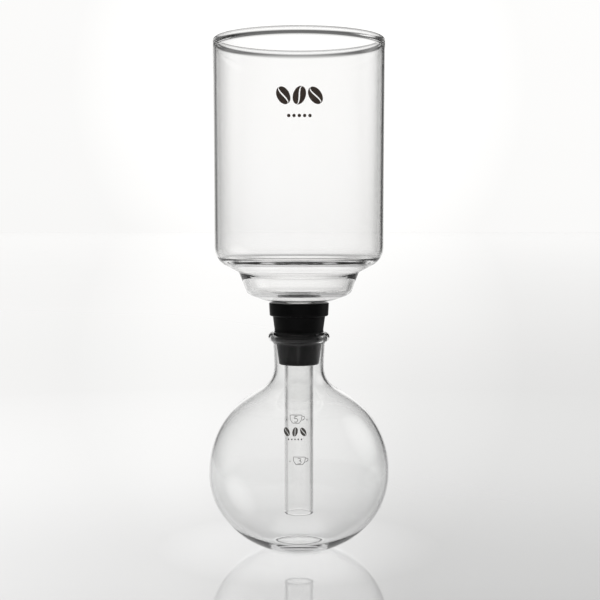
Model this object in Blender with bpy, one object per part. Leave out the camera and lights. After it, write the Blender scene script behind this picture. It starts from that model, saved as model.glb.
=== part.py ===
"""Glass set of a siphon coffee maker: lower flask, rubber stopper and upper chamber.

Everything is turned about the Z axis.  The flask stands on its flat base at Z = 0, the tapered
stopper sits in the flask's neck, and the siphon tube of the upper chamber runs down through the
stopper to just above the flask's floor.  Sizes chain from the tube outwards and from the base
upwards, so a changed size carries the pieces that fit on it along.  Lengths are in metres.
"""

import math

import bmesh
import bpy
from mathutils import Matrix, Vector

# Driving dimensions ---------------------------------------------------------------------------

FIT_GAP = 0.0003  # space left between pieces that touch
SEGMENTS = 48  # facets round the axis
ARC_STEP = math.radians(24)  # largest turn between two points of a rounded corner
END_STEPS = 5  # points on the half-round end of a glass wall
SHARP_ANGLE = math.radians(35)  # steeper edges than this are shaded sharp
MERGE_DISTANCE = 1e-6
SHARE_OF_SIDE = 0.49  # the most of a side that one rounding may use up
THINNEST_MITRE = 0.5  # limits how far a wall's inner point moves at a sharp turn

# lower flask
BALL_RADIUS = 0.0534  # outside, at the widest place
BALL_LOWER_DEPTH = 0.0472  # how deep the flattened lower half would go without its base
BALL_BAND = 0.0018  # straight band between the lower and the upper half
BALL_STEPS = 9  # points on each half of the ball
BASE_RADIUS = 0.0170  # where the lower half is cut by the flat base
BASE_EDGE_RADIUS = 0.004
FLASK_WALL = 0.00145
FLASK_FLOOR = 0.0020
NECK_FILLET = 0.0115  # between the ball and the neck
FILLET_STEPS = 4
NECK_LENGTH = 0.0228  # from the top of that fillet to the top of the lip
NECK_FLARE = 0.001  # how much wider the neck is under the lip than at its foot
LIP_RADIUS = 0.0031  # of the rolled bead
LIP_OVERHANG = 0.0027  # how far the bead stands out from the neck
LIP_UNDERCUT = 0.0018  # fillet under the bead
BEAD_STEPS = 6
BEAD_START = -45  # degrees from level, where the bead leaves that fillet
MOUTH_STEPS = 3

# rubber stopper
STOPPER_FOOT_WALL = 0.0028  # rubber round the tube at the narrow end
STOPPER_TAPER = 0.133  # radius gained for each unit of height
STOPPER_DEPTH = 0.0194  # below the top of the lip
STOPPER_FOOT_EDGE = 0.0012
STOPPER_SHOW = 0.0093  # tapered body seen between the lip and the flange
SEAT_DEPTH = 0.0015  # below the top of the lip, where the taper meets the glass
FLANGE_HEIGHT = 0.0078
FLANGE_OVERHANG = 0.0018
FLANGE_DRAFT = 0.0004  # the flange is wider at its top by this much
FLANGE_LOWER_EDGE = 0.0015
FLANGE_UPPER_EDGE = 0.0005

# upper chamber
TUBE_RADIUS = 0.0086  # outside
TUBE_WALL = 0.0014
TUBE_END_GAP = 0.0181  # from the flask's floor up to the end of the tube
TUBE_FLARE = 0.0012  # fillet where the tube is fused to the bowl
BOWL_WALL = 0.00165
BOWL_RADIUS = 0.0504  # outside, at the rim
BOWL_DRAFT = 0.0006  # the bowl is wider at its rim by this much
BOWL_HEIGHT = 0.1541  # from the underside of the cup to the rim
BOWL_CORNER = 0.009
CUP_FLOOR_RADIUS = 0.0195  # almost level underside, which rests over the stopper
CUP_FLOOR_RISE = 0.0010
CUP_EDGE_RADIUS = 0.0304
CUP_EDGE_RISE = 0.0048
CUP_EDGE_ROUND = 0.006
CUP_TOP_RADIUS = 0.0354  # the cup's wall meets the bowl's shoulder here
CUP_TOP_RISE = 0.0178
CUP_TOP_ROUND = 0.002
SHOULDER_SLOPE = 0.52  # height gained for each unit of radius

GLASS_COLOUR = (0.93, 0.95, 0.94, 1.0)
GLASS_ROUGHNESS = 0.02
GLASS_IOR = 1.47
RUBBER_COLOUR = (0.012, 0.012, 0.013, 1.0)
RUBBER_ROUGHNESS = 0.45
RUBBER_IOR = 1.5

# Sizes and places that follow from them ---------------------------------------------------------

ball_low_centre = BALL_LOWER_DEPTH * math.sqrt(1 - (BASE_RADIUS / BALL_RADIUS) ** 2)
ball_high_centre = ball_low_centre + BALL_BAND

stopper_bore = TUBE_RADIUS + FIT_GAP
stopper_foot_radius = stopper_bore + STOPPER_FOOT_WALL
stopper_seat_radius = stopper_foot_radius + STOPPER_TAPER * (STOPPER_DEPTH - SEAT_DEPTH)
stopper_top_radius = stopper_foot_radius + STOPPER_TAPER * (STOPPER_DEPTH + STOPPER_SHOW)
stopper_height = STOPPER_DEPTH + STOPPER_SHOW + FLANGE_HEIGHT
flange_radius = stopper_top_radius + FLANGE_OVERHANG + FLANGE_DRAFT

mouth_bore = stopper_seat_radius + FIT_GAP
neck_top_radius = mouth_bore - STOPPER_TAPER * LIP_RADIUS + FLASK_WALL
neck_foot_radius = neck_top_radius - NECK_FLARE
neck_foot_height = ball_high_centre + math.sqrt(
    (BALL_RADIUS + NECK_FILLET) ** 2 - (neck_foot_radius + NECK_FILLET) ** 2
)
lip_height = neck_foot_height + NECK_LENGTH
lip_centre = Vector((neck_top_radius + LIP_OVERHANG - LIP_RADIUS, lip_height - LIP_RADIUS))

stopper_base = lip_height - STOPPER_DEPTH
bowl_base = stopper_base + stopper_height + FIT_GAP
tube_length = bowl_base - FLASK_FLOOR - TUBE_END_GAP


# Outlines, as points of radius and height --------------------------------------------------------


def arc(centre, radii, start, end, steps):
    """Points on an ellipse's arc, with both ends; the angles are in degrees from the radius axis."""
    angles = [math.radians(start + (end - start) * i / steps) for i in range(steps + 1)]
    return [Vector((centre[0] + radii[0] * math.cos(a), centre[1] + radii[1] * math.sin(a))) for a in angles]


def rounded(corners):
    """An open outline through (radius, height, rounding) corners, each rounded by an arc.

    A rounding is limited to what its two sides leave room for.
    """
    places = [Vector(corner[:2]) for corner in corners]
    outline = [places[0]]
    for before, place, after, corner in zip(places, places[1:], places[2:], corners[1:]):
        into, out = (place - before).normalized(), (after - place).normalized()
        turn = into.angle_signed(out)
        slope = math.tan(abs(turn) / 2)
        room = SHARE_OF_SIDE * min((place - before).length, (after - place).length)
        radius = min(corner[2], room / slope) if slope > MERGE_DISTANCE else 0
        if radius <= 0:
            outline.append(place)
            continue
        start = place - into * radius * slope
        centre = start + Vector((into.y, -into.x)) * math.copysign(radius, turn)
        steps = max(2, math.ceil(abs(turn) / ARC_STEP))
        for i in range(steps + 1):
            outline.append(centre + Matrix.Rotation(-turn * i / steps, 2) @ (start - centre))
    return outline + [places[-1]]


def inside_of(outline, walls):
    """The outline moved to its left by each point's own wall thickness."""
    moved = []
    for i, place in enumerate(outline):
        ahead = outline[min(i + 1, len(outline) - 1)] - place
        behind = place - outline[max(i - 1, 0)]
        into = (behind if behind.length else ahead).normalized()
        out = (ahead if ahead.length else behind).normalized()
        along = (into + out).normalized()
        normal = Vector((-along.y, along.x))
        moved.append(place + normal * walls[i] / max(along.dot(out), THINNEST_MITRE))
    return moved


def end_cap(first, last):
    """The points of a half-round end between two walls, going from first to last by the right."""
    centre = (first + last) / 2
    spoke = first - centre
    return [centre + Matrix.Rotation(math.pi * i / END_STEPS, 2) @ spoke for i in range(1, END_STEPS)]


def flask_outline():
    """Base, ball, neck and rolled lip outside, then the bore and the inside back to the axis."""
    base_angle = -math.degrees(math.asin(ball_low_centre / BALL_LOWER_DEPTH))
    lower = arc((0, ball_low_centre), (BALL_RADIUS, BALL_LOWER_DEPTH), base_angle, 0, BALL_STEPS)
    base = rounded([(0, 0, 0), (BASE_RADIUS, 0, BASE_EDGE_RADIUS), (*lower[1], 0)])

    fillet_centre = Vector((neck_foot_radius + NECK_FILLET, neck_foot_height))
    ball_end = math.degrees(math.atan2(fillet_centre.y - ball_high_centre, fillet_centre.x))
    upper = arc((0, ball_high_centre), (BALL_RADIUS, BALL_RADIUS), 0, ball_end, BALL_STEPS)
    fillet = arc(fillet_centre, (NECK_FILLET, NECK_FILLET), ball_end + 180, 180, FILLET_STEPS)

    bead = arc(lip_centre, (LIP_RADIUS, LIP_RADIUS), BEAD_START, 90, BEAD_STEPS)
    under_lip = rounded([
        (*fillet[-1], 0),
        (neck_top_radius, lip_centre.y - LIP_RADIUS, LIP_UNDERCUT),
        (*bead[0], 0),
    ])
    body = base[:-1] + lower[1:] + upper + fillet[1:] + under_lip[1:-1]
    mouth_edge = (lip_centre.x - mouth_bore, SEAT_DEPTH)
    mouth = arc((lip_centre.x, lip_height - SEAT_DEPTH), mouth_edge, 90, 180, MOUTH_STEPS)[1:]

    walls = [FLASK_WALL if place.y > BASE_EDGE_RADIUS else FLASK_FLOOR for place in body]
    inside = inside_of(body, walls)
    below_lip = [place for place in inside if place.y < lip_height - 2 * LIP_RADIUS]
    return body + bead + mouth + below_lip[::-1]


def stopper_outline():
    """The bore, the tapered body and the flange, measured from the narrow end."""
    taper_top = STOPPER_DEPTH + STOPPER_SHOW
    return rounded([
        (stopper_bore, stopper_height / 2, 0),
        (stopper_bore, 0, 0),
        (stopper_foot_radius, 0, STOPPER_FOOT_EDGE),
        (stopper_top_radius, taper_top, 0),
        (flange_radius - FLANGE_DRAFT, taper_top, FLANGE_LOWER_EDGE),
        (flange_radius, stopper_height, FLANGE_UPPER_EDGE),
        (stopper_bore, stopper_height, TUBE_FLARE - FIT_GAP),
        (stopper_bore, stopper_height / 2, 0),
    ])[:-1]


def chamber_outline():
    """The tube, the cup, the shoulder and the bowl outside, then the inside back down."""
    foot_radius = BOWL_RADIUS - BOWL_DRAFT
    shoulder_rise = CUP_TOP_RISE + SHOULDER_SLOPE * (foot_radius - CUP_TOP_RADIUS)
    outside = rounded([
        (TUBE_RADIUS, TUBE_WALL / 2 - tube_length, 0),
        (TUBE_RADIUS, 0, TUBE_FLARE),
        (CUP_FLOOR_RADIUS, CUP_FLOOR_RISE, CUP_EDGE_ROUND),
        (CUP_EDGE_RADIUS, CUP_EDGE_RISE, CUP_EDGE_ROUND),
        (CUP_TOP_RADIUS, CUP_TOP_RISE, CUP_TOP_ROUND),
        (foot_radius, shoulder_rise, BOWL_CORNER),
        (BOWL_RADIUS, BOWL_HEIGHT - BOWL_WALL / 2, 0),
    ])
    walls = [TUBE_WALL if place.x < TUBE_RADIUS + MERGE_DISTANCE else BOWL_WALL for place in outside]
    inside = inside_of(outside, walls)
    rim = end_cap(outside[-1], inside[-1])
    tube_end = end_cap(inside[0], outside[0])
    return outside + rim + inside[::-1] + tube_end


# Solids ------------------------------------------------------------------------------------------


def material(name, colour, roughness, transmission, ior):
    """A Principled material for one piece."""
    made = bpy.data.materials.new(name)
    made.use_nodes = True
    shader = made.node_tree.nodes["Principled BSDF"]
    shader.inputs["Base Color"].default_value = colour
    shader.inputs["Roughness"].default_value = roughness
    shader.inputs["Metallic"].default_value = 0.0
    shader.inputs["Transmission Weight"].default_value = transmission
    shader.inputs["IOR"].default_value = ior
    made.diffuse_color = colour
    return made


def turned(name, outline, height, finish, parent):
    """Spins an outline about Z into one closed body, and stands it at its height on the axis."""
    closed = outline[0].x > 0
    mesh = bpy.data.meshes.new(name)
    shape = bmesh.new()
    points = [shape.verts.new((place.x, 0, place.y)) for place in outline]
    pairs = list(zip(points, points[1:]))
    if closed:
        pairs.append((points[-1], points[0]))
    edges = [shape.edges.new(pair) for pair in pairs]
    bmesh.ops.spin(
        shape,
        geom=points + edges,
        cent=(0, 0, 0),
        axis=(0, 0, 1),
        angle=2 * math.pi,
        steps=SEGMENTS,
        use_merge=True,
    )
    bmesh.ops.remove_doubles(shape, verts=shape.verts, dist=MERGE_DISTANCE)
    bmesh.ops.recalc_face_normals(shape, faces=shape.faces)
    shape.to_mesh(mesh)
    shape.free()
    mesh.shade_smooth()
    mesh.set_sharp_from_angle(angle=SHARP_ANGLE)
    mesh.materials.append(finish)
    piece = bpy.data.objects.new(name, mesh)
    piece.location = (0, 0, height)
    piece.parent = parent
    bpy.context.scene.collection.objects.link(piece)
    return piece


def build():
    for old in list(bpy.data.objects):
        bpy.data.objects.remove(old, do_unlink=True)

    axis = bpy.data.objects.new("siphon_axis", None)
    axis.empty_display_size = BASE_RADIUS
    bpy.context.scene.collection.objects.link(axis)

    flask_glass = material("flask_glass", GLASS_COLOUR, GLASS_ROUGHNESS, 1.0, GLASS_IOR)
    chamber_glass = material("chamber_glass", GLASS_COLOUR, GLASS_ROUGHNESS, 1.0, GLASS_IOR)
    black_rubber = material("black_rubber", RUBBER_COLOUR, RUBBER_ROUGHNESS, 0.0, RUBBER_IOR)

    turned("lower_flask", flask_outline(), 0, flask_glass, axis)
    turned("rubber_stopper", stopper_outline(), stopper_base, black_rubber, axis)
    turned("upper_chamber", chamber_outline(), bowl_base, chamber_glass, axis)


build()
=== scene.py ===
"""Looks of a siphon coffee maker's glass set: blown flask, rubber stopper and stepped upper chamber.

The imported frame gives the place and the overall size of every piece.  Each piece is turned from a
finely rounded outline, with the ripples and thick places that blown glass has, and the enamel
marks are laid on the glass.  Lengths are in metres.
"""

import math

import bmesh
import bpy
from mathutils import Matrix, Vector


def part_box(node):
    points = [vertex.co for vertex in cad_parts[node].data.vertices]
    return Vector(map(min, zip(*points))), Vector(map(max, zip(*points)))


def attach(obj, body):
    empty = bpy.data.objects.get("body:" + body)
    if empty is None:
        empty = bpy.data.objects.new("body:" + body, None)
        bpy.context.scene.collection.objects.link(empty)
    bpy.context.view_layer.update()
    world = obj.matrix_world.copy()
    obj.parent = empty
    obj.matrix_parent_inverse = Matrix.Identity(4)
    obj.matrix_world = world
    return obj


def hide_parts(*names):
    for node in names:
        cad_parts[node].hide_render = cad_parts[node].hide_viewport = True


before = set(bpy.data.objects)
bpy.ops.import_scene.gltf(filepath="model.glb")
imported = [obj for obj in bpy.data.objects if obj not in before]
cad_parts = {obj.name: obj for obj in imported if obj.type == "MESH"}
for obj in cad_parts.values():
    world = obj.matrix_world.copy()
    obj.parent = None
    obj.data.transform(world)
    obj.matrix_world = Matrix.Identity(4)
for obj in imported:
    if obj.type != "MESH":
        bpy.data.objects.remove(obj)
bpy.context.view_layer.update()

_, flask_high = (Vector(corner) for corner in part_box("lower_flask"))
stopper_low, stopper_high = (Vector(corner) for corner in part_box("rubber_stopper"))
chamber_low, chamber_high = (Vector(corner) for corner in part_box("upper_chamber"))

# Sizes -------------------------------------------------------------------------------------------

FACETS = 144  # round the axis
ARC_STEP = math.radians(6)
FEWEST_ARC_STEPS = 3
END_STEPS = 14  # in a half-round end
FINE_STEP = 0.0014  # longest run between two points of an outline
SHARE_OF_SIDE = 0.49  # most of a side that one corner's rounding takes up
STRAIGHT = 1e-6  # a bend with less slope than this is left alone
MERGE_DISTANCE = 1e-6
FIT_GAP = 0.0003

# flask
BALL_LOWER_DEPTH = 0.0472
BALL_BAND = 0.0018
BASE_RADIUS = 0.0170
BASE_EDGE_RADIUS = 0.004
BASE_ROUNDING = 0.012
PUNT = 0.0005  # the base is pushed up by this much inside the ring it stands on
PUNT_SHARE = 0.6  # of the base's radius
FLASK_WALL = 0.00145
FLASK_FLOOR = 0.0020
FLOOR_FADE = (0.001, 0.014)  # heights over which the floor thins to the wall
NECK_FILLET = 0.0115
NECK_LENGTH = 0.0228
NECK_FLARE = 0.001
NECK_PASSES = 24  # of smoothing between the neck and the ball
LIP_RADIUS = 0.0031
LIP_OVERHANG = 0.0027
LIP_UNDERCUT = 0.0018
LIP_START = -45  # degrees from the radius axis, where the bead leaves the neck
SEAT_DEPTH = 0.0015

# stopper
TUBE_RADIUS = 0.0086
STOPPER_FOOT_WALL = 0.0028
STOPPER_TAPER = 0.133
STOPPER_FOOT_EDGE = 0.0012
STOPPER_CREASE = 0.0003
STOPPER_DEPTH = 0.0194
PRESSED = 0.00002  # how far the squeezed rubber reaches into the glass
PRESSED_LENGTH = 0.0040
PRESSED_FADE = 0.0010
FLANGE_HEIGHT = 0.0078
FLANGE_OVERHANG = 0.0018
FLANGE_DRAFT = 0.0004
FLANGE_LOWER_EDGE = 0.0015
FLANGE_UPPER_EDGE = 0.0005

# chamber
TUBE_WALL = 0.0014
TUBE_FLARE = 0.0012
BOWL_WALL = 0.00165
BOWL_DRAFT = 0.0006
BOWL_HEIGHT = 0.1541
BOWL_CORNER = 0.0125
RIM_WALL = 0.0031  # the fire-polished rim is thicker than the wall
RIM_DEPTH = 0.0038
RIM_STEP = 0.0012
CORNER_EXTRA = 0.0018  # glass gathered where the bowl turns into its shoulder
CORNER_DROP = 0.0040  # its thickest place is this far below the corner
CORNER_REACH = 0.0045
CUP_EXTRA = 0.0011  # the cup's wall is thicker than the bowl's
CUP_FADE = 0.004
CUP_FLOOR_RADIUS = 0.0195
CUP_FLOOR_RISE = 0.0010
CUP_EDGE_RADIUS = 0.0304
CUP_EDGE_RISE = 0.0048
CUP_EDGE_ROUND = 0.006
CUP_TOP_RADIUS = 0.0354
CUP_TOP_RISE = 0.0178
CUP_TOP_ROUND = 0.002
SHOULDER_SLOPE = 0.52

# waves in the inside of the glass: height, and the places between which it grows or fades
AXIS_REACH = 0.001  # no waves this close to the axis
BALL_WAVE = 0.00002
FLOOR_WAVE = 0.00010
FLOOR_WAVE_FADE = (0.006, 0.016)
SHOULDER_WAVE = 0.00004
SHOULDER_WAVE_RISE = (0.090, 0.098)
SHOULDER_WAVE_FADE = (0.108, 0.116)
BOWL_WAVE = 0.000012
CUP_WAVE = 0.00017
CUP_WAVE_FADE = (0.026, 0.034)  # above the cup's underside
WAVE_DETAIL = 1.5
BALL_WAVES = (1.2, 150.0)  # how close the waves are, round the axis and per metre along the outline
CUP_WAVES = (1.6, 170.0)
FLASK_SEED = 3.0
STOPPER_SEED = 5.0
CHAMBER_SEED = 11.0

# enamel
MARK_MERGE_DISTANCE = 1e-7
ENAMEL_THICKNESS = 0.00004
ENAMEL_LIFT = 0.00001
STANDOFF = 0.2  # marks are laid on the glass from this far in front of it
STANDOFF_REACH = 1.0
MITRE_LIMIT = 0.5
CURVE_STEPS = 6
DOT_STEPS = 12
BEAN_STEPS = 24
BEAN_ACROSS = 5
CREASE_SWING = 0.20  # of a bean's half width
CREASE_GAP = 0.11  # of a bean's half width
CREASE_LENGTH = 0.97  # of a bean's half length
PEN = 0.00026

# A row of beans: place across and tilt of each, then half length and half width
BADGE_BEANS = ((-0.0088, 28), (0.0, -18), (0.0088, 34))
BADGE_BEAN = (0.0052, 0.0035)
BADGE_DROP = 0.0380  # below the rim
BADGE_SHIFT = 0.0002
FLASK_BEANS = ((-0.0046, 26), (0.0, -16), (0.0046, 32))
FLASK_BEAN = (0.0024, 0.0015)
FLASK_BEANS_PLACE = (-0.0022, 0.0762)

# The dots under a row of beans: spacing, drop and radius
DOT_COUNT = 5
BADGE_DOTS = (0.0029, 0.0110, 0.00095)
FLASK_DOTS = (0.0018, 0.0038, 0.00042)

# Volume marks: a cup with a digit in it and ticks beside it
FIVE_PLACE = (-0.0017, 0.0826)
THREE_PLACE = (0.0002, 0.0612)
CUP_MARK = (0.0068, 0.0040)  # width and height
# Its side from the top: shares of the width and the height, and the rounding there
CUP_SIDE = ((0.50, 0.50, 0.0004), (0.46, -0.05, 0.0012), (0.27, -0.50, 0.0005))
CUP_HANDLE = ((0.0, 0.36), (0.26, 0.30), (0.22, 0.0), (-0.068, -0.14))  # shares of the height
DIGIT_HEIGHT = 0.0029
DIGIT_WIDTH = 1.3  # times as wide as drawn here
DIGIT_DROP = 0.0001
TICK_RADIUS = 0.0003
TICK_DROP = 0.0003
LEFT_TICK = -0.0052
RIGHT_TICK = 0.0062

# Digits as rows of points, one row a stroke, from -1 to 1
FIVE = (
    ((0.44, 1.0), (-0.36, 1.0)),
    ((-0.34, 1.04), (-0.40, 0.10)),
    (
        (-0.42, 0.14), (-0.05, 0.32), (0.36, 0.14), (0.48, -0.34),
        (0.24, -0.84), (-0.14, -0.98), (-0.50, -0.76),
    ),
)
THREE = (
    (
        (-0.46, 0.70), (-0.26, 0.96), (0.08, 1.0), (0.38, 0.78),
        (0.38, 0.34), (0.04, 0.10), (-0.16, 0.08),
    ),
    (
        (-0.16, 0.08), (0.20, 0.04), (0.48, -0.22), (0.48, -0.66),
        (0.14, -1.0), (-0.28, -0.98), (-0.52, -0.70),
    ),
)

# materials
MIDDLE_SPAN = (0.35, 0.65)  # where most of a noise's values lie
GLASS_IOR = 1.473
FLASK_TINT = (0.990, 0.994, 0.992)
CHAMBER_TINT = (0.992, 0.991, 0.988)
EVEN_WAVES = (1, 1, 1)
DRAWN_WAVES = (1, 1, 0.35)  # longer along the axis
GLASS_WAVE_SCALE = 28.0
GLASS_WAVE_DETAIL = 1.0
GLASS_WAVE_STRENGTH = 0.25
GLASS_WAVE_HEIGHT = 0.0002
GLASS_HAZE_SCALE = 60.0
GLASS_HAZE_DETAIL = 4.0
GLASS_HAZE = (0.0, 0.012)
GLASS_HAZE_SPAN = (0.50, 0.75)
RUBBER_DARK = (0.0018, 0.0018, 0.0020, 1)
RUBBER_LIGHT = (0.0040, 0.0039, 0.0039, 1)
RUBBER_BLOOM_SCALE = 90.0
RUBBER_BLOOM_DETAIL = 3.0
RUBBER_GRAIN_SCALE = 2600.0
RUBBER_GRAIN_DETAIL = 2.0
RUBBER_GRAIN_STRENGTH = 0.25
RUBBER_GRAIN_HEIGHT = 0.00005
RUBBER_ROUGHNESS = (0.30, 0.42)
RUBBER_SHINE = 0.12
RUBBER_IOR = 1.52
BROWN = (0.045, 0.028, 0.020)
WORN_BROWN = (0.085, 0.058, 0.042)
GREY = (0.060, 0.056, 0.050)
WORN_GREY = (0.12, 0.115, 0.105)
ENAMEL_SPECKLE_SCALE = 1800.0
ENAMEL_SPECKLE_DETAIL = 3.0
ENAMEL_SPECKLE_STRENGTH = 0.2
ENAMEL_SPECKLE_HEIGHT = 0.00001
ENAMEL_WORN_SPAN = (0.45, 0.75)
ENAMEL_ROUGHNESS = (0.45, 0.65)

# floor
FLOOR_RADIUS = 60.0
FLOOR_FACETS = 96
FLOOR_IOR = 2.0
FLOOR_CLOUD_SCALE = 3.0
FLOOR_CLOUD_DETAIL = 2.0
FLOOR_ROUGHNESS = (0.02, 0.04)
PAINTED_POOL_APEX = 0.75  # how far in front of the object the painted fan of light on the floor starts
PAINTED_POOL_LEAST = 0.25  # share of that distance, for the places in front of the apex
PAINTED_POOL_FRONT = (-0.60, -0.25)  # the painted light on the floor brightens between these places in front of the object
PAINTED_POOL_FRONT_LEVEL = 0.40
PAINTED_FLOOR_GLOW = 0.62  # painted glow: share of the floor's brightness that the sheet emits itself near the object, though no lamp lies under it
PAINTED_GLOW_REACH = (0.20, 0.75)
PAINTED_GLOW_STRENGTH = 0.80
PAINTED_UNDER_GLOW = 1.5  # painted glow, times brighter under the ball, to fill in the shade where the glass holds back the light from above
PAINTED_UNDER_REACH = (0.020, 0.085)

# Painted pool of light: brightness of the floor's colour across the fan, higher on the left, as (place,
# brightness) stops
PAINTED_POOL_ACROSS = (
    (-0.70, 0.30), (-0.42, 0.50), (-0.28, 0.78), (-0.12, 0.72), (0.0, 0.62), (0.10, 0.51), (0.26, 0.49),
    (0.36, 0.28), (0.70, 0.25),
)

# Brightness of the backdrop from -X to +X and from -Z to +Z, as (place, brightness) stops
BACKDROP_ACROSS = (
    (-1.0, 0.13), (-0.46, 0.12), (-0.34, 0.45), (-0.26, 0.97), (0.0, 0.965), (0.23, 0.99), (0.27, 0.84),
    (0.35, 0.08), (1.0, 0.04),
)
BACKDROP_UPWARDS = (
    (-1.0, 0.94), (0.0, 0.97), (0.04, 0.98), (0.10, 0.99), (0.18, 1.0), (0.27, 0.85), (0.37, 0.16),
    (0.62, 0.06), (0.80, 0.85), (1.0, 0.95),
)
BACKDROP_EDGE = (-0.10, 0.35)  # along Y, where the room in front turns into the backdrop
FRONT_LEVEL = 0.13  # radiance of the room behind the camera
FLOOR_LIGHT = 1.1  # radiance of the sky that lights matt surfaces
LIGHT_TINT = (1.0, 0.996, 0.988, 1)
SOFT_LAMPS = (  # direction, cosine at the edge and radiance
    ((0.0, 1.0, 0.11), 0.984, 0.16),
    ((0.87, 0.30, 0.40), 0.90, 1.1),
)

# camera
LENS = 74.3  # mm
SENSOR_WIDTH = 36.0  # mm
NEAREST = 0.01
SIDE_SHIFT = 0.0017
VIEW_PLACE = (0, -0.731, 0.190)
VIEW_PITCH = math.radians(90 - 3.33)
LIGHT_BOUNCES = 28
GLASS_BOUNCES = 24
GLOSSY_BOUNCES = 12

# Places that follow
stopper_foot = TUBE_RADIUS + FIT_GAP + STOPPER_FOOT_WALL
mouth_bore = stopper_foot + STOPPER_TAPER * (STOPPER_DEPTH - SEAT_DEPTH) + FIT_GAP
neck_top = mouth_bore - STOPPER_TAPER * LIP_RADIUS + FLASK_WALL

# Outlines, as points of radius and height ----------------------------------------------------------


def arc(centre, radii, start, end):
    """Points on an ellipse's arc, with both ends; the angles are in degrees from the radius axis."""
    sweep = math.radians(abs(end - start))
    steps = max(2, math.ceil(sweep * max(radii) / FINE_STEP), math.ceil(sweep / ARC_STEP))
    angles = [math.radians(start + (end - start) * i / steps) for i in range(steps + 1)]
    return [Vector(centre) + Vector((radii[0] * math.cos(a), radii[1] * math.sin(a))) for a in angles]


def rounded(corners):
    """An open outline through (radius, height, rounding) corners, each rounded by an arc."""
    places = [Vector(corner[:2]) for corner in corners]
    outline = [places[0]]
    for before, place, after, corner in zip(places, places[1:], places[2:], corners[1:]):
        into, out = (place - before).normalized(), (after - place).normalized()
        turn = into.angle_signed(out)
        slope = math.tan(abs(turn) / 2)
        room = SHARE_OF_SIDE * min((place - before).length, (after - place).length)
        radius = min(corner[2], room / slope) if slope > STRAIGHT else 0
        if radius <= 0:
            outline.append(place)
            continue
        start = place - into * radius * slope
        centre = start + Vector((into.y, -into.x)) * math.copysign(radius, turn)
        steps = max(FEWEST_ARC_STEPS, math.ceil(abs(turn) / ARC_STEP))
        for i in range(steps + 1):
            outline.append(centre + Matrix.Rotation(-turn * i / steps, 2) @ (start - centre))
    return outline + [places[-1]]


def fine(outline):
    """The outline with its straight runs cut into short ones."""
    points = [outline[0]]
    for before, place in zip(outline, outline[1:]):
        cuts = max(1, math.ceil((place - before).length / FINE_STEP))
        points += [before.lerp(place, i / cuts) for i in range(1, cuts + 1)]
    return points


def left_normal(outline, i):
    """The unit normal on the left of the outline at one of its points."""
    ahead = outline[min(i + 1, len(outline) - 1)] - outline[i]
    behind = outline[i] - outline[max(i - 1, 0)]
    along = (ahead.normalized() + behind.normalized()).normalized()
    return Vector((-along.y, along.x))


def inside_of(outline, thickness):
    """The outline moved to its left by the wall's thickness at each of its points."""
    return [place + left_normal(outline, i) * thickness(place) for i, place in enumerate(outline)]


def half_round(first, last):
    """The points of a half-round end between two walls, going from first to last by the right."""
    centre = (first + last) / 2
    turns = [math.pi * i / END_STEPS for i in range(1, END_STEPS)]
    return [centre + Matrix.Rotation(turn, 2) @ (first - centre) for turn in turns]


def smooth(value, low, high):
    """0 below low, 1 above high and a soft step between."""
    share = min(max((value - low) / (high - low), 0), 1)
    return share * share * (3 - 2 * share)


def relaxed(outline, low, high, passes):
    """The outline with its bends between two heights made gradual."""
    for _ in range(passes):
        triples = zip(outline[:1] + outline, outline, outline[1:] + outline[-1:])
        outline = [
            (before + 2 * place + after) / 4 if low < place.y < high else place
            for before, place, after in triples
        ]
    return outline


def flask_outline():
    """Base, ball, neck and rolled lip outside, then the bore and the inside back to the axis."""
    ball_radius, lip_height = flask_high.x, flask_high.z
    low_centre = BALL_LOWER_DEPTH * math.sqrt(1 - (BASE_RADIUS / ball_radius) ** 2)
    high_centre = low_centre + BALL_BAND
    neck_foot = neck_top - NECK_FLARE
    lip_centre = Vector((neck_top + LIP_OVERHANG - LIP_RADIUS, lip_height - LIP_RADIUS))

    base_angle = -math.degrees(math.asin(low_centre / BALL_LOWER_DEPTH))
    lower = arc((0, low_centre), (ball_radius, BALL_LOWER_DEPTH), base_angle, 0)
    skipped = math.ceil(BASE_EDGE_RADIUS / FINE_STEP)
    base = rounded([
        (0, PUNT, 0),
        (BASE_RADIUS * PUNT_SHARE, PUNT, BASE_ROUNDING),
        (BASE_RADIUS * (1 + PUNT_SHARE) / 2, 0, PUNT),
        (BASE_RADIUS, 0, BASE_ROUNDING),
        (*lower[skipped], 0),
    ])

    fillet_centre = Vector((neck_foot + NECK_FILLET, lip_height - NECK_LENGTH))
    ball_end = math.degrees(math.atan2(fillet_centre.y - high_centre, fillet_centre.x))
    upper = arc((0, high_centre), (ball_radius, ball_radius), 0, ball_end)
    fillet = arc(fillet_centre, (NECK_FILLET, NECK_FILLET), ball_end + 180, 180)
    bead = arc(lip_centre, (LIP_RADIUS, LIP_RADIUS), LIP_START, 90)
    under_lip = rounded([
        (*fillet[-1], 0),
        (neck_top, lip_centre.y - LIP_RADIUS, LIP_UNDERCUT),
        (*bead[0], 0),
    ])
    body = fine(base[:-1] + lower[skipped:] + upper + fillet[1:] + under_lip[1:-1])
    body = relaxed(body, lip_height - 2 * NECK_LENGTH, lip_height - 3 * LIP_RADIUS, NECK_PASSES)
    mouth_edge = (lip_centre.x - mouth_bore, SEAT_DEPTH)
    mouth = arc((lip_centre.x, lip_height - SEAT_DEPTH), mouth_edge, 90, 180)[1:]

    def thickness(place):
        """The floor is thicker than the wall, as blown glass is."""
        return FLASK_FLOOR + (FLASK_WALL - FLASK_FLOOR) * smooth(place.y, *FLOOR_FADE)

    inside = inside_of(body, thickness)
    below_lip = [place for place in inside if place.y < lip_height - 2 * LIP_RADIUS]
    joint = fine([mouth[-1], below_lip[-1]])[1:-1]
    return body + bead + mouth + joint + below_lip[::-1]


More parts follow.
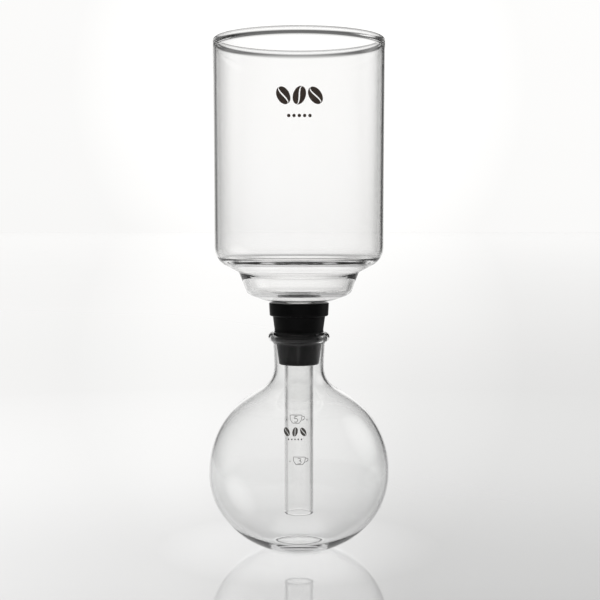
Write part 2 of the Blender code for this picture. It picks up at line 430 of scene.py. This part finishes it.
def stopper_outline():
    """The bore, the tapered body, squeezed where it sits in the mouth, and the flange, closed."""
    bore = TUBE_RADIUS + FIT_GAP
    foot, top, middle = stopper_low.z, stopper_high.z, (stopper_low.z + stopper_high.z) / 2
    under_flange = top - FLANGE_HEIGHT
    seat = flask_high.z - SEAT_DEPTH
    bore_slope = (mouth_bore - neck_top + FLASK_WALL) / (2 * LIP_RADIUS - SEAT_DEPTH)

    def tapered(height, swell=0.0):
        """A place on the body, moved out by the swell."""
        return stopper_foot + STOPPER_TAPER * (height - foot) + swell, height

    edge = tapered(under_flange, FLANGE_OVERHANG)[0]
    return fine(rounded([
        (bore, middle, 0),
        (bore, foot, STOPPER_CREASE),
        (stopper_foot, foot, STOPPER_FOOT_EDGE),
        (*tapered(seat - PRESSED_LENGTH - PRESSED_FADE), PRESSED_FADE),
        (mouth_bore + PRESSED - bore_slope * PRESSED_LENGTH, seat - PRESSED_LENGTH, PRESSED_FADE),
        (mouth_bore + PRESSED, seat, PRESSED_FADE),
        (*tapered(seat + PRESSED_FADE, FIT_GAP), PRESSED_FADE),
        (*tapered(seat + 3 * PRESSED_FADE), PRESSED_FADE),
        (*tapered(under_flange), STOPPER_CREASE),
        (edge, under_flange, FLANGE_LOWER_EDGE),
        (edge + FLANGE_DRAFT, top, FLANGE_UPPER_EDGE),
        (bore, top, TUBE_FLARE - FIT_GAP),
        (bore, middle, 0),
    ]))


def chamber_outline():
    """The tube, the cup, the shoulder and the bowl outside, then the inside back down, closed."""
    rim_radius, rim = chamber_high.x, chamber_high.z
    underside = rim - BOWL_HEIGHT
    foot_radius = rim_radius - BOWL_DRAFT
    shoulder_rise = CUP_TOP_RISE + SHOULDER_SLOPE * (foot_radius - CUP_TOP_RADIUS)
    outside = fine(rounded([
        (TUBE_RADIUS, chamber_low.z + TUBE_WALL / 2, 0),
        (TUBE_RADIUS, underside, TUBE_FLARE),
        (CUP_FLOOR_RADIUS, underside + CUP_FLOOR_RISE, CUP_EDGE_ROUND),
        (CUP_EDGE_RADIUS, underside + CUP_EDGE_RISE, CUP_EDGE_ROUND),
        (CUP_TOP_RADIUS, underside + CUP_TOP_RISE, CUP_TOP_ROUND),
        (foot_radius, underside + shoulder_rise, BOWL_CORNER),
        (rim_radius, rim - RIM_WALL / 2, 0),
    ]))

    def thickness(place):
        """Tube, then bowl, thickened in the cup, in the lower corner and at the fire-polished rim."""
        rise = place.y - underside
        if rise < -TUBE_FLARE:
            return TUBE_WALL
        bead = (RIM_WALL - BOWL_WALL) * smooth(place.y, rim - RIM_DEPTH, rim - RIM_DEPTH + RIM_STEP)
        from_thickest = abs(rise - shoulder_rise + CORNER_DROP)
        gathered = CORNER_EXTRA * (1 - smooth(from_thickest, 0.0, CORNER_REACH))
        cup_starts = smooth(rise, CUP_FLOOR_RISE, CUP_EDGE_RISE)
        cup_ends = 1 - smooth(rise, CUP_TOP_RISE - CUP_FADE, CUP_TOP_RISE)
        return BOWL_WALL + bead + gathered + CUP_EXTRA * cup_starts * cup_ends

    inside = inside_of(outside, thickness)
    outline = outside + half_round(outside[-1], inside[-1]) + inside[::-1] + half_round(inside[0], outside[0])
    return outline + outline[:1]


# Geometry Nodes -------------------------------------------------------------------------------------


def new_tree(name, inputs):
    """A geometry tree with a geometry going in and out, and the named inputs."""
    tree = bpy.data.node_groups.new(name, "GeometryNodeTree")
    tree.interface.new_socket("Geometry", in_out="INPUT", socket_type="NodeSocketGeometry")
    for label, kind, value in inputs:
        socket = tree.interface.new_socket(label, in_out="INPUT", socket_type=kind)
        if value is not None:
            socket.default_value = value
    tree.interface.new_socket("Geometry", in_out="OUTPUT", socket_type="NodeSocketGeometry")
    return tree, tree.nodes.new("NodeGroupInput"), tree.nodes.new("NodeGroupOutput")


def math_node(tree, operation, first, second=None):
    """A Math node on sockets or plain numbers; gives its output."""
    node = tree.nodes.new("ShaderNodeMath")
    node.operation = operation
    for socket, value in zip(node.inputs, (first, second)):
        if isinstance(value, (int, float)):
            socket.default_value = value
        elif value is not None:
            tree.links.new(value, socket)
    return node.outputs[0]


def vector_node(tree, operation, first, second, scale=None):
    """A Vector Math node on sockets or plain vectors; gives its vector output."""
    node = tree.nodes.new("ShaderNodeVectorMath")
    node.operation = operation
    for socket, value in zip(node.inputs, (first, second)):
        if isinstance(value, tuple):
            socket.default_value = value
        elif value is not None:
            tree.links.new(value, socket)
    if scale is not None:
        tree.links.new(scale, node.inputs["Scale"])
    return node.outputs["Vector"]


def named_attribute(tree, name, kind):
    """An attribute of the geometry that is read."""
    node = tree.nodes.new("GeometryNodeInputNamedAttribute")
    node.data_type = kind
    node.inputs["Name"].default_value = name
    return node.outputs["Attribute"]


def sampled(tree, geometry, field, index, kind):
    """A field of the outline, read at the outline's point that index gives."""
    node = tree.nodes.new("GeometryNodeSampleIndex")
    node.data_type = kind
    node.domain = "POINT"
    node.clamp = True
    tree.links.new(geometry, node.inputs["Geometry"])
    tree.links.new(field, node.inputs["Value"])
    tree.links.new(index, node.inputs["Index"])
    return node.outputs["Value"]


def finished(tree, geometry, material, output):
    """Ends a tree: smooth shading, realized instances and the piece's material."""
    shade = tree.nodes.new("GeometryNodeSetShadeSmooth")
    tree.links.new(geometry, shade.inputs["Geometry"])
    realize = tree.nodes.new("GeometryNodeRealizeInstances")
    tree.links.new(shade.outputs["Geometry"], realize.inputs["Geometry"])
    paint = tree.nodes.new("GeometryNodeSetMaterial")
    tree.links.new(realize.outputs["Geometry"], paint.inputs["Geometry"])
    tree.links.new(material, paint.inputs["Material"])
    tree.links.new(paint.outputs["Geometry"], output.inputs["Geometry"])


def turning_tree():
    """Turns an outline about Z: a grid with the outline's points as rows and angles as columns."""
    tree, given, output = new_tree("turned_piece", (
        ("Points", "NodeSocketInt", 2),
        ("Facets", "NodeSocketInt", FACETS),
        ("Waves Round", "NodeSocketFloat", BALL_WAVES[0]),
        ("Waves Along", "NodeSocketFloat", BALL_WAVES[1]),
        ("Seed", "NodeSocketFloat", 0.0),
        ("Material", "NodeSocketMaterial", None),
    ))
    columns = math_node(tree, "ADD", given.outputs["Facets"], 1)
    grid = tree.nodes.new("GeometryNodeMeshGrid")
    tree.links.new(given.outputs["Points"], grid.inputs["Vertices X"])
    tree.links.new(columns, grid.inputs["Vertices Y"])

    index = tree.nodes.new("GeometryNodeInputIndex").outputs["Index"]
    row = math_node(tree, "FLOOR", math_node(tree, "DIVIDE", math_node(tree, "ADD", index, 0.5), columns))
    column = math_node(tree, "SUBTRACT", index, math_node(tree, "MULTIPLY", row, columns))
    share = math_node(tree, "DIVIDE", column, given.outputs["Facets"])
    turn = math_node(tree, "MULTIPLY", share, -math.tau)

    position = tree.nodes.new("GeometryNodeInputPosition").outputs["Position"]
    outline = given.outputs["Geometry"]
    place = sampled(tree, outline, position, row, "FLOAT_VECTOR")
    normal = named_attribute(tree, "outward", "FLOAT_VECTOR")
    outward = sampled(tree, outline, normal, row, "FLOAT_VECTOR")
    height = sampled(tree, outline, named_attribute(tree, "wave_height", "FLOAT"), row, "FLOAT")
    along = sampled(tree, outline, named_attribute(tree, "along", "FLOAT"), row, "FLOAT")

    spot = tree.nodes.new("ShaderNodeCombineXYZ")
    around = given.outputs["Waves Round"]
    tree.links.new(math_node(tree, "MULTIPLY", math_node(tree, "COSINE", turn), around), spot.inputs["X"])
    tree.links.new(math_node(tree, "MULTIPLY", math_node(tree, "SINE", turn), around), spot.inputs["Y"])
    tree.links.new(math_node(tree, "MULTIPLY", along, given.outputs["Waves Along"]), spot.inputs["Z"])
    noise = tree.nodes.new("ShaderNodeTexNoise")
    noise.noise_dimensions = "4D"
    noise.inputs["Scale"].default_value = 1.0
    noise.inputs["Detail"].default_value = WAVE_DETAIL
    tree.links.new(spot.outputs["Vector"], noise.inputs["Vector"])
    tree.links.new(given.outputs["Seed"], noise.inputs["W"])
    wave = math_node(tree, "SUBTRACT", math_node(tree, "MULTIPLY", noise.outputs["Fac"], 2), 1)
    shift = vector_node(tree, "SCALE", outward, None, math_node(tree, "MULTIPLY", wave, height))

    swing = tree.nodes.new("ShaderNodeVectorRotate")
    swing.rotation_type = "Z_AXIS"
    tree.links.new(vector_node(tree, "ADD", place, shift), swing.inputs["Vector"])
    tree.links.new(turn, swing.inputs["Angle"])
    move = tree.nodes.new("GeometryNodeSetPosition")
    tree.links.new(grid.outputs["Mesh"], move.inputs["Geometry"])
    tree.links.new(swing.outputs["Vector"], move.inputs["Position"])
    merge = tree.nodes.new("GeometryNodeMergeByDistance")
    merge.inputs["Distance"].default_value = MERGE_DISTANCE
    tree.links.new(move.outputs["Geometry"], merge.inputs["Geometry"])
    finished(tree, merge.outputs["Geometry"], given.outputs["Material"], output)
    return tree


def enamel_tree():
    """Gives flat marks a thickness and lays them on the front of a glass, straight along +Y."""
    tree, given, output = new_tree("fired_mark", (
        ("Glass", "NodeSocketObject", None),
        ("Thickness", "NodeSocketFloat", ENAMEL_THICKNESS),
        ("Lift", "NodeSocketFloat", ENAMEL_LIFT),
        ("Material", "NodeSocketMaterial", None),
    ))
    raise_mark = tree.nodes.new("GeometryNodeExtrudeMesh")
    raise_mark.mode = "FACES"
    raise_mark.inputs["Individual"].default_value = False
    raise_mark.inputs["Offset"].default_value = (0, -1, 0)
    tree.links.new(given.outputs["Geometry"], raise_mark.inputs["Mesh"])
    tree.links.new(given.outputs["Thickness"], raise_mark.inputs["Offset Scale"])
    back = tree.nodes.new("GeometryNodeFlipFaces")
    tree.links.new(given.outputs["Geometry"], back.inputs["Mesh"])
    both = tree.nodes.new("GeometryNodeJoinGeometry")
    tree.links.new(raise_mark.outputs["Mesh"], both.inputs["Geometry"])
    tree.links.new(back.outputs["Mesh"], both.inputs["Geometry"])
    weld = tree.nodes.new("GeometryNodeMergeByDistance")
    weld.inputs["Distance"].default_value = MERGE_DISTANCE
    tree.links.new(both.outputs["Geometry"], weld.inputs["Geometry"])

    position = tree.nodes.new("GeometryNodeInputPosition").outputs["Position"]
    glass = tree.nodes.new("GeometryNodeObjectInfo")
    glass.transform_space = "RELATIVE"
    tree.links.new(given.outputs["Glass"], glass.inputs["Object"])
    touch = tree.nodes.new("GeometryNodeRaycast")
    tree.links.new(glass.outputs["Geometry"], touch.inputs["Target Geometry"])
    tree.links.new(vector_node(tree, "ADD", position, (0, -STANDOFF, 0)), touch.inputs["Source Position"])
    touch.inputs["Ray Direction"].default_value = (0, 1, 0)
    touch.inputs["Ray Length"].default_value = STANDOFF_REACH
    depth = tree.nodes.new("ShaderNodeSeparateXYZ")
    tree.links.new(touch.outputs["Hit Position"], depth.inputs["Vector"])
    slide = tree.nodes.new("ShaderNodeCombineXYZ")
    tree.links.new(math_node(tree, "SUBTRACT", depth.outputs["Y"], given.outputs["Lift"]), slide.inputs["Y"])
    move = tree.nodes.new("GeometryNodeSetPosition")
    tree.links.new(weld.outputs["Geometry"], move.inputs["Geometry"])
    tree.links.new(slide.outputs["Vector"], move.inputs["Offset"])
    finished(tree, move.outputs["Geometry"], given.outputs["Material"], output)
    return tree


def grown(name, mesh, tree, values):
    """An object of the mesh that the tree makes of the given one, as a plain mesh."""
    piece = bpy.data.objects.new(name, mesh)
    bpy.context.scene.collection.objects.link(piece)
    modifier = piece.modifiers.new(tree.name, "NODES")
    modifier.node_group = tree
    sockets = {item.name: item.identifier for item in tree.interface.items_tree if item.in_out == "INPUT"}
    for label, value in values.items():
        modifier[sockets[label]] = value
    depsgraph = bpy.context.evaluated_depsgraph_get()
    plain = bpy.data.meshes.new_from_object(piece.evaluated_get(depsgraph), depsgraph=depsgraph)
    piece.modifiers.clear()
    piece.data = plain
    plain.name = name
    return piece


# Turned pieces ------------------------------------------------------------------------------------


def turned(tree, name, outline, wave, material, seed, waves=BALL_WAVES):
    """One closed body from an outline; wave(place, inner) is how far the wall may wander there."""
    mesh = bpy.data.meshes.new(name + "_outline")
    edges = [(i, i + 1) for i in range(len(outline) - 1)]
    mesh.from_pydata([(place.x, 0, place.y) for place in outline], edges, [])
    outward = mesh.attributes.new("outward", "FLOAT_VECTOR", "POINT")
    heights = mesh.attributes.new("wave_height", "FLOAT", "POINT")
    along = mesh.attributes.new("along", "FLOAT", "POINT")
    length = 0.0
    for i, place in enumerate(outline):
        length += (place - outline[i - 1]).length if i else 0
        normal = -left_normal(outline, i)
        outward.data[i].vector = (normal.x, 0, normal.y)
        heights.data[i].value = wave(place, normal.x < 0)
        along.data[i].value = length
    return grown(name, mesh, tree, {
        "Points": len(outline),
        "Facets": FACETS,
        "Waves Round": waves[0],
        "Waves Along": waves[1],
        "Seed": seed,
        "Material": material,
    })


def flask_wave(place, inner):
    """Faint waves inside the ball, stronger ones on its floor and under the neck."""
    if not inner or place.x < AXIS_REACH:
        return 0.0
    floor = 1 - smooth(place.y, *FLOOR_WAVE_FADE)
    shoulder = smooth(place.y, *SHOULDER_WAVE_RISE) * (1 - smooth(place.y, *SHOULDER_WAVE_FADE))
    return BALL_WAVE + FLOOR_WAVE * floor + SHOULDER_WAVE * shoulder


def chamber_wave(place, inner):
    """Hot-formed waves inside the cup and the shoulder; the bowl is nearly even and the tube is even."""
    rise = place.y - (chamber_high.z - BOWL_HEIGHT)
    if not inner or rise < 0 or place.y > chamber_high.z - 2 * RIM_DEPTH:
        return 0.0
    return BOWL_WAVE + CUP_WAVE * (1 - smooth(rise, *CUP_WAVE_FADE))


def stopper_wave(_place, _inner):
    """Moulded rubber is even."""
    return 0.0


# Enamel marks -------------------------------------------------------------------------------------


def patch(marks, first, second, across=1):
    """Quads between two lines of the same number of points, in the XZ plane."""
    rows = [[a.lerp(b, j / across) for j in range(across + 1)] for a, b in zip(first, second)]
    verts = [[marks.verts.new((p.x, 0, p.y)) for p in row] for row in rows]
    for before, after in zip(verts, verts[1:]):
        for j in range(across):
            marks.faces.new((before[j], before[j + 1], after[j + 1], after[j]))


def stroke(marks, line, width, closed=False):
    """A pen stroke of even width along a line."""
    count = len(line)
    left, right = [], []
    for i in range(count + 1 if closed else count):
        place = line[i % count]
        if closed:
            ahead = (line[(i + 1) % count] - place).normalized()
            behind = (place - line[(i - 1) % count]).normalized()
            along = (ahead + behind).normalized()
            normal = Vector((-along.y, along.x)) / max(along.dot(ahead), MITRE_LIMIT)
        else:
            normal = left_normal(line, i)
        left.append(place + normal * width / 2)
        right.append(place - normal * width / 2)
    patch(marks, right, left)


def curve_through(points):
    """A smooth line through the points."""
    ends = [2 * points[0] - points[1], *points, 2 * points[-1] - points[-2]]
    line = []
    for p0, p1, p2, p3 in zip(ends, ends[1:], ends[2:], ends[3:]):
        square = 2 * p0 - 5 * p1 + 4 * p2 - p3
        cube = 3 * p1 - p0 - 3 * p2 + p3
        for i in range(CURVE_STEPS):
            t = i / CURVE_STEPS
            line.append((2 * p1 + (p2 - p0) * t + square * t**2 + cube * t**3) / 2)
    return line + [points[-1]]


def dot(marks, centre, radius):
    """A round spot."""
    angles = [math.tau * i / DOT_STEPS for i in range(DOT_STEPS)]
    corners = [centre + Vector((math.cos(a), math.sin(a))) * radius for a in angles]
    verts = [marks.verts.new((p.x, 0, p.y)) for p in corners]
    hub = marks.verts.new((centre.x, 0, centre.y))
    for a, b in zip(verts, verts[1:] + verts[:1]):
        marks.faces.new((hub, a, b))


def bean(marks, centre, half_length, half_width, tilt):
    """A coffee bean: two halves with an S-shaped crease between them."""
    turn = Matrix.Rotation(math.radians(tilt), 2)
    for side in (-1, 1):
        crease, edge = [], []
        for i in range(1, BEAN_STEPS):
            share = i / BEAN_STEPS
            height = -math.cos(math.pi * share) * half_length
            belly = math.sin(math.pi * share) * half_width
            middle = CREASE_SWING * half_width * math.sin(math.tau * share) + side * CREASE_GAP * belly
            crease.append(centre + turn @ Vector((middle, height * CREASE_LENGTH)))
            edge.append(centre + turn @ Vector((side * belly, height)))
        first, second = (edge, crease) if side < 0 else (crease, edge)
        patch(marks, first, second, BEAN_ACROSS)


def beans_over_dots(marks, middle, beans, bean_size, dots):
    """A row of beans with a row of dots under it."""
    for place, tilt in beans:
        bean(marks, middle + Vector((place, 0)), *bean_size, tilt)
    spacing, drop, radius = dots
    for i in range(DOT_COUNT):
        dot(marks, middle + Vector(((i - (DOT_COUNT - 1) / 2) * spacing, -drop)), radius)


def cup(marks, centre):
    """The outline of a small cup with a handle, which frames a volume's digit."""
    width, height = CUP_MARK
    left = [(-x * width, y * height, rounding) for x, y, rounding in CUP_SIDE]
    right = [(x * width, y * height, rounding) for x, y, rounding in reversed(CUP_SIDE)]
    top = (0, height / 2, 0)
    body = [centre + place for place in rounded([top, *left, *right, top])][:-1]
    stroke(marks, body, PEN, closed=True)
    root = centre + Vector((width / 2 + PEN, 0))
    stroke(marks, curve_through([root + Vector(point) * height for point in CUP_HANDLE]), PEN)


def digit(marks, shape, centre):
    """A digit drawn with a stroke through each of its shape's rows of points."""
    for row in shape:
        points = [centre + Vector((x * DIGIT_WIDTH, y)) * DIGIT_HEIGHT / 2 for x, y in row]
        stroke(marks, curve_through(points), PEN)


def printed(tree, name, draw, glass, material):
    """Enamel marks, drawn flat and laid on the front of the glass."""
    marks = bmesh.new()
    draw(marks)
    bmesh.ops.remove_doubles(marks, verts=marks.verts, dist=MARK_MERGE_DISTANCE)
    marks.normal_update()
    for face in marks.faces:
        if face.normal.y > 0:
            face.normal_flip()
    mesh = bpy.data.meshes.new(name + "_flat")
    marks.to_mesh(mesh)
    marks.free()
    return grown(name, mesh, tree, {
        "Glass": glass,
        "Thickness": ENAMEL_THICKNESS,
        "Lift": ENAMEL_LIFT,
        "Material": material,
    })


def bowl_badge(marks):
    """Three coffee beans over a dotted line, high on the bowl's front."""
    middle = Vector((BADGE_SHIFT, chamber_high.z - BADGE_DROP))
    beans_over_dots(marks, middle, BADGE_BEANS, BADGE_BEAN, BADGE_DOTS)


def volume_marks(marks):
    """Cups with the volumes for five and for three, and a small row of beans between them."""
    for shape, place in ((FIVE, FIVE_PLACE), (THREE, THREE_PLACE)):
        centre = Vector(place)
        cup(marks, centre)
        digit(marks, shape, centre - Vector((0, DIGIT_DROP)))
        dot(marks, centre + Vector((LEFT_TICK, -TICK_DROP)), TICK_RADIUS)
    dot(marks, Vector(FIVE_PLACE) + Vector((RIGHT_TICK, -TICK_DROP)), TICK_RADIUS)
    beans_over_dots(marks, Vector(FLASK_BEANS_PLACE), FLASK_BEANS, FLASK_BEAN, FLASK_DOTS)


# Materials ------------------------------------------------------------------------------------------


def shader_of(name):
    """A new material's nodes, its Principled shader and its object coordinates."""
    made = bpy.data.materials.new(name)
    made.use_nodes = True
    nodes, links = made.node_tree.nodes, made.node_tree.links
    coordinates = nodes.new("ShaderNodeTexCoord").outputs["Object"]
    return made, nodes, links, nodes["Principled BSDF"], coordinates


def noise_of(nodes, links, coordinates, scale, detail):
    """Soft noise from 0 to 1, with more octaves as the detail grows."""
    noise = nodes.new("ShaderNodeTexNoise")
    noise.inputs["Scale"].default_value = scale
    noise.inputs["Detail"].default_value = detail
    links.new(coordinates, noise.inputs["Vector"])
    return noise.outputs["Fac"]


def ramp_of(nodes, links, value, low, high, span=MIDDLE_SPAN):
    """Fades from one colour to another as the value goes through the span."""
    ramp = nodes.new("ShaderNodeValToRGB")
    ramp.color_ramp.elements[0].position, ramp.color_ramp.elements[1].position = span
    ramp.color_ramp.elements[0].color = low
    ramp.color_ramp.elements[1].color = high
    links.new(value, ramp.inputs["Fac"])
    return ramp.outputs["Color"]


def range_of(nodes, links, value, low, high, span=MIDDLE_SPAN):
    """Fades from one number to another as the value goes through the span."""
    node = nodes.new("ShaderNodeMapRange")
    node.inputs["From Min"].default_value, node.inputs["From Max"].default_value = span
    node.inputs["To Min"].default_value, node.inputs["To Max"].default_value = low, high
    links.new(value, node.inputs["Value"])
    return node.outputs["Result"]


def bump_of(nodes, links, height, strength, distance):
    """The normal of a surface raised by a height field."""
    bump = nodes.new("ShaderNodeBump")
    bump.inputs["Strength"].default_value = strength
    bump.inputs["Distance"].default_value = distance
    links.new(height, bump.inputs["Height"])
    return bump.outputs["Normal"]


def blown_glass(name, tint, drawn):
    """Clear borosilicate: faint tint, faint handling haze and the slow waves of drawn or blown glass."""
    made, nodes, links, shader, coordinates = shader_of(name)
    stretch = nodes.new("ShaderNodeMapping")
    stretch.inputs["Scale"].default_value = drawn
    links.new(coordinates, stretch.inputs["Vector"])
    slow = noise_of(nodes, links, stretch.outputs["Vector"], GLASS_WAVE_SCALE, GLASS_WAVE_DETAIL)
    haze = noise_of(nodes, links, coordinates, GLASS_HAZE_SCALE, GLASS_HAZE_DETAIL)
    links.new(ramp_of(nodes, links, slow, (*tint, 1), (1, 1, 1, 1)), shader.inputs["Base Color"])
    links.new(range_of(nodes, links, haze, *GLASS_HAZE, GLASS_HAZE_SPAN), shader.inputs["Roughness"])
    waves = bump_of(nodes, links, slow, GLASS_WAVE_STRENGTH, GLASS_WAVE_HEIGHT)
    links.new(waves, shader.inputs["Normal"])
    shader.inputs["Transmission Weight"].default_value = 1.0
    shader.inputs["IOR"].default_value = GLASS_IOR
    return made


def moulded_rubber():
    """Black rubber with a fine mould grain and a slightly polished skin."""
    made, nodes, links, shader, coordinates = shader_of("stopper_rubber")
    bloom = noise_of(nodes, links, coordinates, RUBBER_BLOOM_SCALE, RUBBER_BLOOM_DETAIL)
    grain = noise_of(nodes, links, coordinates, RUBBER_GRAIN_SCALE, RUBBER_GRAIN_DETAIL)
    links.new(ramp_of(nodes, links, bloom, RUBBER_DARK, RUBBER_LIGHT), shader.inputs["Base Color"])
    links.new(range_of(nodes, links, bloom, *RUBBER_ROUGHNESS), shader.inputs["Roughness"])
    skin = bump_of(nodes, links, grain, RUBBER_GRAIN_STRENGTH, RUBBER_GRAIN_HEIGHT)
    links.new(skin, shader.inputs["Normal"])
    shader.inputs["Specular IOR Level"].default_value = RUBBER_SHINE
    shader.inputs["IOR"].default_value = RUBBER_IOR
    return made


def fired_enamel(name, colour, worn):
    """Screen-printed enamel: matt, slightly speckled, with thin places."""
    made, nodes, links, shader, coordinates = shader_of(name)
    speckle = noise_of(nodes, links, coordinates, ENAMEL_SPECKLE_SCALE, ENAMEL_SPECKLE_DETAIL)
    tone = ramp_of(nodes, links, speckle, (*colour, 1), (*worn, 1), ENAMEL_WORN_SPAN)
    links.new(tone, shader.inputs["Base Color"])
    links.new(range_of(nodes, links, speckle, *ENAMEL_ROUGHNESS), shader.inputs["Roughness"])
    skin = bump_of(nodes, links, speckle, ENAMEL_SPECKLE_STRENGTH, ENAMEL_SPECKLE_HEIGHT)
    links.new(skin, shader.inputs["Normal"])
    return made


# Stage ----------------------------------------------------------------------------------------------


def profile(tree, value, stops):
    """A soft curve through (place from -1 to 1, height from 0 to 1) stops."""
    ramp = tree.nodes.new("ShaderNodeValToRGB")
    ramp.color_ramp.interpolation = "EASE"
    while len(ramp.color_ramp.elements) < len(stops):
        ramp.color_ramp.elements.new(0.5)
    for element, (place, height) in zip(ramp.color_ramp.elements, stops):
        element.position = (place + 1) / 2
        element.color = (height, height, height, 1)
    tree.links.new(range_of(tree.nodes, tree.links, value, 0.0, 1.0, (-1.0, 1.0)), ramp.inputs["Fac"])
    return ramp.outputs["Color"]


def pale_floor():
    """A wide sheet of glossy pale acrylic, with a painted fan of light behind and round the object and a
    painted glow near it, strongest under the ball.
    """
    made, nodes, links, shader, coordinates = shader_of("pale_acrylic_painted_light")
    tree = made.node_tree
    axes = nodes.new("ShaderNodeSeparateXYZ")
    links.new(coordinates, axes.inputs["Vector"])
    # painted pool of light: the floor's colour is brighter in a fan behind the object, more on the left than
    # the right, and fades in front of it
    away = math_node(tree, "ADD", axes.outputs["Y"], PAINTED_POOL_APEX)
    away = math_node(tree, "MAXIMUM", away, PAINTED_POOL_LEAST * PAINTED_POOL_APEX)
    across = profile(tree, math_node(tree, "DIVIDE", axes.outputs["X"], away), PAINTED_POOL_ACROSS)
    front = range_of(nodes, links, axes.outputs["Y"], PAINTED_POOL_FRONT_LEVEL, 1.0, PAINTED_POOL_FRONT)
    tone = math_node(tree, "MULTIPLY", across, front)

    reach = nodes.new("ShaderNodeVectorMath")
    reach.operation = "LENGTH"
    links.new(coordinates, reach.inputs[0])
    distance = reach.outputs["Value"]
    # painted glow: near the object the floor emits part of its brightness itself, so the glass leaves no
    # shadow on it
    glow = range_of(nodes, links, distance, PAINTED_FLOOR_GLOW, 0.0, PAINTED_GLOW_REACH)
    # the base colour carries the painted pool of light, less the share that the painted glow gives
    lit = math_node(tree, "MULTIPLY", tone, math_node(tree, "SUBTRACT", 1.0, glow))
    links.new(lit, shader.inputs["Base Color"])
    links.new(tone, shader.inputs["Emission Color"])
    # painted glow under the ball, stronger where the glass shades the floor from the light above
    under = range_of(nodes, links, distance, PAINTED_GLOW_STRENGTH * PAINTED_UNDER_GLOW, PAINTED_GLOW_STRENGTH, PAINTED_UNDER_REACH)
    links.new(math_node(tree, "MULTIPLY", glow, under), shader.inputs["Emission Strength"])

    cloud = noise_of(nodes, links, coordinates, FLOOR_CLOUD_SCALE, FLOOR_CLOUD_DETAIL)
    links.new(range_of(nodes, links, cloud, *FLOOR_ROUGHNESS), shader.inputs["Roughness"])
    shader.inputs["IOR"].default_value = FLOOR_IOR
    bpy.ops.mesh.primitive_circle_add(vertices=FLOOR_FACETS, radius=FLOOR_RADIUS, fill_type="NGON")
    floor = bpy.context.object
    floor.name = "pale_floor"
    floor.data.materials.append(made)


def studio_surround():
    """A lit backdrop behind, darker walls beside and overhead, and soft lamps, all without seams.

    Matt surfaces are lit evenly, so that the glass leaves no hard shadow on the floor.
    """
    world = bpy.data.worlds.new("studio")
    bpy.context.scene.world = world
    world.use_nodes = True
    world.cycles.sampling_method = "NONE"
    tree = world.node_tree
    nodes, links = tree.nodes, tree.links
    direction = nodes.new("ShaderNodeTexCoord").outputs["Generated"]
    axes = nodes.new("ShaderNodeSeparateXYZ")
    links.new(direction, axes.inputs["Vector"])

    across = profile(tree, axes.outputs["X"], BACKDROP_ACROSS)
    backdrop = math_node(tree, "MULTIPLY", across, profile(tree, axes.outputs["Z"], BACKDROP_UPWARDS))
    behind = range_of(nodes, links, axes.outputs["Y"], 0.0, 1.0, BACKDROP_EDGE)
    room = math_node(tree, "MULTIPLY", math_node(tree, "SUBTRACT", 1.0, behind), FRONT_LEVEL)
    seen = math_node(tree, "ADD", math_node(tree, "MULTIPLY", backdrop, behind), room)
    for aim, edge, radiance in SOFT_LAMPS:
        towards = nodes.new("ShaderNodeVectorMath")
        towards.operation = "DOT_PRODUCT"
        links.new(direction, towards.inputs[0])
        towards.inputs[1].default_value = Vector(aim).normalized()
        glow = range_of(nodes, links, towards.outputs["Value"], 0.0, radiance, (edge, 1.0))
        seen = math_node(tree, "ADD", seen, glow)

    path = nodes.new("ShaderNodeLightPath")
    matt = math_node(tree, "MINIMUM", path.outputs["Diffuse Depth"], 1.0)
    even = math_node(tree, "MULTIPLY", matt, FLOOR_LIGHT)
    seen = math_node(tree, "MULTIPLY", math_node(tree, "SUBTRACT", 1.0, matt), seen)
    background = nodes["Background"]
    background.inputs["Color"].default_value = LIGHT_TINT
    links.new(math_node(tree, "ADD", even, seen), background.inputs["Strength"])


def camera():
    """A little above the step under the bowl, looking slightly down."""
    lens = bpy.data.cameras.new("camera")
    lens.lens = LENS
    lens.sensor_width = SENSOR_WIDTH
    lens.clip_start = NEAREST
    lens.shift_x = SIDE_SHIFT
    view = bpy.data.objects.new("camera", lens)
    bpy.context.scene.collection.objects.link(view)
    view.location = VIEW_PLACE
    view.rotation_euler = (VIEW_PITCH, 0, 0)
    bpy.context.scene.camera = view


# Assembly ---------------------------------------------------------------------------------------------

camera()
pale_floor()
studio_surround()
bpy.context.scene.view_settings.view_transform = "Standard"
bpy.context.scene.cycles.max_bounces = LIGHT_BOUNCES
bpy.context.scene.cycles.transmission_bounces = GLASS_BOUNCES
bpy.context.scene.cycles.glossy_bounces = GLOSSY_BOUNCES

turning = turning_tree()
printing = enamel_tree()

flask_glass = blown_glass("flask_borosilicate", FLASK_TINT, EVEN_WAVES)
chamber_glass = blown_glass("chamber_borosilicate", CHAMBER_TINT, DRAWN_WAVES)
rubber = moulded_rubber()
brown_enamel = fired_enamel("brown_enamel", BROWN, WORN_BROWN)
grey_enamel = fired_enamel("grey_enamel", GREY, WORN_GREY)

flask = turned(turning, "blown_flask", flask_outline(), flask_wave, flask_glass, FLASK_SEED)
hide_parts("lower_flask")
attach(flask, "flask")

stopper = turned(turning, "moulded_stopper", stopper_outline(), stopper_wave, rubber, STOPPER_SEED)
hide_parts("rubber_stopper")
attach(stopper, "stopper")

chamber = turned(
    turning, "blown_chamber", chamber_outline(), chamber_wave, chamber_glass, CHAMBER_SEED, CUP_WAVES,
)
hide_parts("upper_chamber")
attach(chamber, "chamber")

badge = printed(printing, "bean_badge", bowl_badge, chamber, brown_enamel)
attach(badge, "chamber")
marks = printed(printing, "volume_marks", volume_marks, flask, grey_enamel)
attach(marks, "flask")
